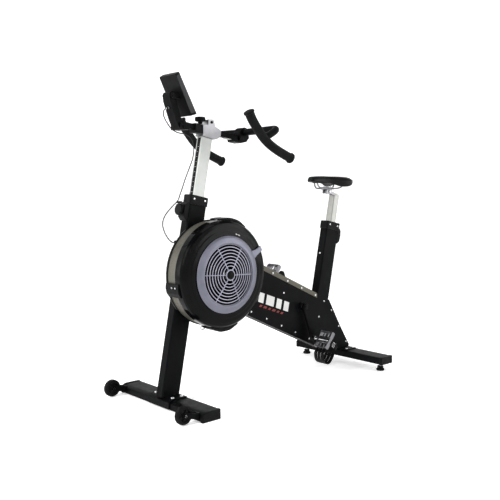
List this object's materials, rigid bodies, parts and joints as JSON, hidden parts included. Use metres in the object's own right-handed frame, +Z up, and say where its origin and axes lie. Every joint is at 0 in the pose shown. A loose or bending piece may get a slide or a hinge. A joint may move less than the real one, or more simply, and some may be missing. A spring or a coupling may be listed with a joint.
{
  "type": "air bike",
  "caption": "Upright air-resistance exercise bike: side fan wheel with grille, raked posts, sliding handlebar and saddle masts, tilting console, toe-cage pedals.",
  "frame": {"origin": "middle of the base on the floor: bottom centre of the bounding box", "axes": "+Z up, +X to the rider's back (the saddle end), +Y to the rider's right; the fan is on the -Y side"},
  "size_m": [1.36, 0.61, 1.425],
  "materials": {
    "black_paint": "satin powder coat",
    "gloss_black_paint": "gloss",
    "olive_paint": "satin",
    "silver_paint": "metallic satin",
    "mesh_metal": "perforated, coated",
    "alloy": "satin anodised",
    "cast_alloy": "cast, silver paint",
    "steel": "brushed",
    "black_plastic": "fine grain",
    "rubber": "matte",
    "grip_foam": "soft foam rubber",
    "saddle_vinyl": "textured vinyl over foam",
    "screen": "gloss"
  },
  "bodies": {
    "frame": {"front_base_bar": "black_paint", "rear_base_bar": "black_paint", "front_cap_left": "black_plastic", "front_cap_right": "black_plastic", "rear_cap_left": "black_plastic", "rear_cap_right": "black_plastic", "front_post": "black_paint", "seat_tube": "black_paint", "frame_plate_left": "black_paint", "frame_plate_right": "black_paint", "top_cap": "olive_paint", "lower_cover": "black_paint", "front_collar": "black_plastic", "seat_collar": "black_plastic", "fan_back_cover": "gloss_black_paint", "fan_band": "mesh_metal", "fan_cover": "gloss_black_paint", "grille": "silver_paint", "hub_cap": "black_plastic", "band_clip_top": "black_plastic", "band_clip_left": "black_plastic", "belt_first": "rubber", "belt_second": "rubber", "console_lead": "black_plastic", "fan_sensor": "black_plastic"},
    "foot_left": {"levelling_foot_left": "rubber"},
    "foot_right": {"levelling_foot_right": "rubber"},
    "wheel_left": {"transport_wheel_left": "rubber"},
    "wheel_right": {"transport_wheel_right": "rubber"},
    "front_knob": {"front_lock_knob": "black_plastic"},
    "seat_knob": {"seat_lock_knob": "black_plastic"},
    "reach_knob": {"reach_lock_knob": "black_plastic"},
    "bar_post": {"front_mast": "alloy", "head_casting": "cast_alloy", "rail_guide": "black_plastic"},
    "bar_slide": {"reach_rail": "black_paint", "rail_clevis": "black_plastic", "bar_bracket": "black_paint", "handlebar_tube": "black_paint", "grip_left": "grip_foam", "grip_right": "grip_foam"},
    "console_arm_body": {"console_arm": "black_plastic"},
    "console": {"console_shell": "black_plastic", "console_screen": "screen"},
    "button_1": {"console_button_1": "black_plastic"},
    "button_2": {"console_button_2": "black_plastic"},
    "damper": {"damper_ring": "silver_paint"},
    "fan_rotor": {"fan_wheel": "cast_alloy", "fan_shaft": "steel"},
    "jackshaft_body": {"jackshaft": "cast_alloy"},
    "crank": {"crank_axle": "cast_alloy", "crank_arm_left": "gloss_black_paint", "crank_arm_right": "gloss_black_paint"},
    "pedal_left_body": {"pedal_left": "cast_alloy"},
    "pedal_right_body": {"pedal_right": "cast_alloy"},
    "seat_post": {"seat_mast": "alloy", "seat_head": "cast_alloy"},
    "saddle_yoke": {"saddle_clamp": "cast_alloy"},
    "saddle": {"saddle_base": "black_plastic", "saddle_cover": "saddle_vinyl"}
  },
  "joints": [
    {"name": "crank_spin", "type": "hinge", "parent": "frame", "child": "crank", "pos_m": [0.283, 0, 0.346], "axis": [0, 1, 0], "continuous": true},
    {"name": "pedal_left_spin", "type": "hinge", "parent": "crank", "child": "pedal_left_body", "pos_m": [0.34285, -0.132, 0.18155], "axis": [0, 1, 0], "continuous": true},
    {"name": "pedal_right_spin", "type": "hinge", "parent": "crank", "child": "pedal_right_body", "pos_m": [0.22315, 0.132, 0.51045], "axis": [0, 1, 0], "continuous": true},
    {"name": "jackshaft_spin", "type": "hinge", "parent": "frame", "child": "jackshaft_body", "pos_m": [-0.12, 0, 0.498], "axis": [0, 1, 0], "continuous": true},
    {"name": "fan_spin", "type": "hinge", "parent": "frame", "child": "fan_rotor", "pos_m": [-0.322, 0, 0.568], "axis": [0, 1, 0], "continuous": true},
    {"name": "damper_turn", "type": "hinge", "parent": "frame", "child": "damper", "pos_m": [-0.322, -0.165, 0.568], "axis": [0, -1, 0], "range_deg": [0, 60]},
    {"name": "bar_height", "type": "slide", "parent": "frame", "child": "bar_post", "axis": [0.1885, 0, 0.9821], "range_m": [-0.2, 0.06], "deforming": ["console_lead"]},
    {"name": "reach_knob_turn", "type": "hinge", "parent": "bar_post", "child": "reach_knob", "pos_m": [-0.3375, 0, 1.2233], "axis": [0, 0, 1], "range_deg": [-180, 180]},
    {"name": "bar_reach", "type": "slide", "parent": "bar_post", "child": "bar_slide", "axis": [0.9903, 0, -0.1386], "range_m": [-0.04, 0.03], "deforming": ["console_lead"]},
    {"name": "arm_tilt", "type": "hinge", "parent": "bar_slide", "child": "console_arm_body", "pos_m": [-0.452, 0, 1.205], "axis": [0, 1, 0], "range_deg": [-25, 3], "deforming": ["console_lead"]},
    {"name": "console_tilt", "type": "hinge", "parent": "console_arm_body", "child": "console", "pos_m": [-0.503, 0, 1.33], "axis": [0, 1, 0], "range_deg": [-25, 3]},
    {"name": "button_1_press", "type": "slide", "parent": "console", "child": "button_1", "axis": [-0.876, 0, -0.4823], "range_m": [0, 0.0012], "stiffness_N_per_m": 400},
    {"name": "button_2_press", "type": "slide", "parent": "console", "child": "button_2", "axis": [-0.876, 0, -0.4823], "range_m": [0, 0.0012], "stiffness_N_per_m": 400},
    {"name": "front_knob_turn", "type": "hinge", "parent": "frame", "child": "front_knob", "pos_m": [-0.44371, 0, 0.84821], "axis": [-0.9821, 0, 0.1885], "range_deg": [-180, 180]},
    {"name": "seat_knob_turn", "type": "hinge", "parent": "frame", "child": "seat_knob", "pos_m": [0.58696, 0, 0.69102], "axis": [0.9799, 0, -0.1994], "range_deg": [-180, 180]},
    {"name": "seat_height", "type": "slide", "parent": "frame", "child": "seat_post", "axis": [0.1994, 0, 0.9799], "range_m": [-0.12, 0.18]},
    {"name": "saddle_tilt", "type": "hinge", "parent": "seat_post", "child": "saddle_yoke", "pos_m": [0.503, 0, 0.926], "axis": [0, 1, 0], "range_deg": [-8, 8]},
    {"name": "saddle_slide", "type": "slide", "parent": "saddle_yoke", "child": "saddle", "axis": [1, 0, 0], "range_m": [-0.02, 0.02]},
    {"name": "wheel_left_spin", "type": "hinge", "parent": "frame", "child": "wheel_left", "pos_m": [-0.642, -0.268, 0.041], "axis": [0, 1, 0], "continuous": true},
    {"name": "wheel_right_spin", "type": "hinge", "parent": "frame", "child": "wheel_right", "pos_m": [-0.642, 0.268, 0.041], "axis": [0, 1, 0], "continuous": true},
    {"name": "foot_left_screw", "type": "slide", "parent": "frame", "child": "foot_left", "axis": [0, 0, -1], "range_m": [0, 0.012]},
    {"name": "foot_right_screw", "type": "slide", "parent": "frame", "child": "foot_right", "axis": [0, 0, -1], "range_m": [0, 0.012]}
  ],
  "couplings": [
    {"joint": "jackshaft_spin", "follows": "crank_spin", "ratio": 3},
    {"joint": "fan_spin", "follows": "crank_spin", "ratio": 7.5}
  ]
}
